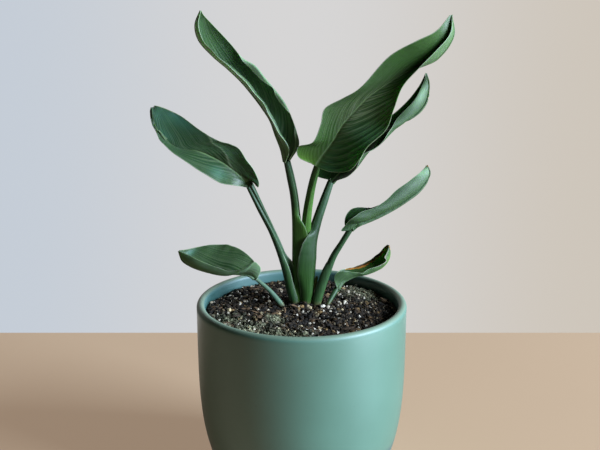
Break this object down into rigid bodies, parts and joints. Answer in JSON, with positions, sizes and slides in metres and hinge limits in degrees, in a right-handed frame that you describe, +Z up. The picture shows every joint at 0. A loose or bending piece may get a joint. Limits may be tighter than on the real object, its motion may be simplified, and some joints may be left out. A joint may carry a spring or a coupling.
{
  "type": "potted bird of paradise",
  "caption": "Young bird of paradise plant with upright grooved stalks and long waved blades, growing in a smooth round ceramic planter filled with potting mix.",
  "frame": {"origin": "centre of the pot's flat base", "axes": "+Z up along the pot's axis; -Y towards the viewer of the picture; +X to the right as seen from there"},
  "size_m": [0.2222, 0.1652, 0.3713],
  "materials": {
    "glaze": "satin grey-green glaze",
    "potting_mix": "dark crumbly peat and bark with white perlite",
    "stalk": "smooth waxy green",
    "leaf": "satin dark green above, paler below"
  },
  "bodies": {
    "root": {"pot": "glaze", "soil": "potting_mix", "stalk_tall_right": "stalk", "stalk_tall_left": "stalk", "stalk_back_right": "stalk", "stalk_mid_left": "stalk", "stalk_low_left": "stalk", "stalk_mid_right": "stalk", "stalk_low_right": "stalk", "blade_tall_right": "leaf", "blade_tall_left": "leaf", "blade_back_right": "leaf", "blade_mid_left": "leaf", "blade_low_left": "leaf", "blade_mid_right": "leaf", "blade_low_right": "leaf"}
  },
  "joints": []
}
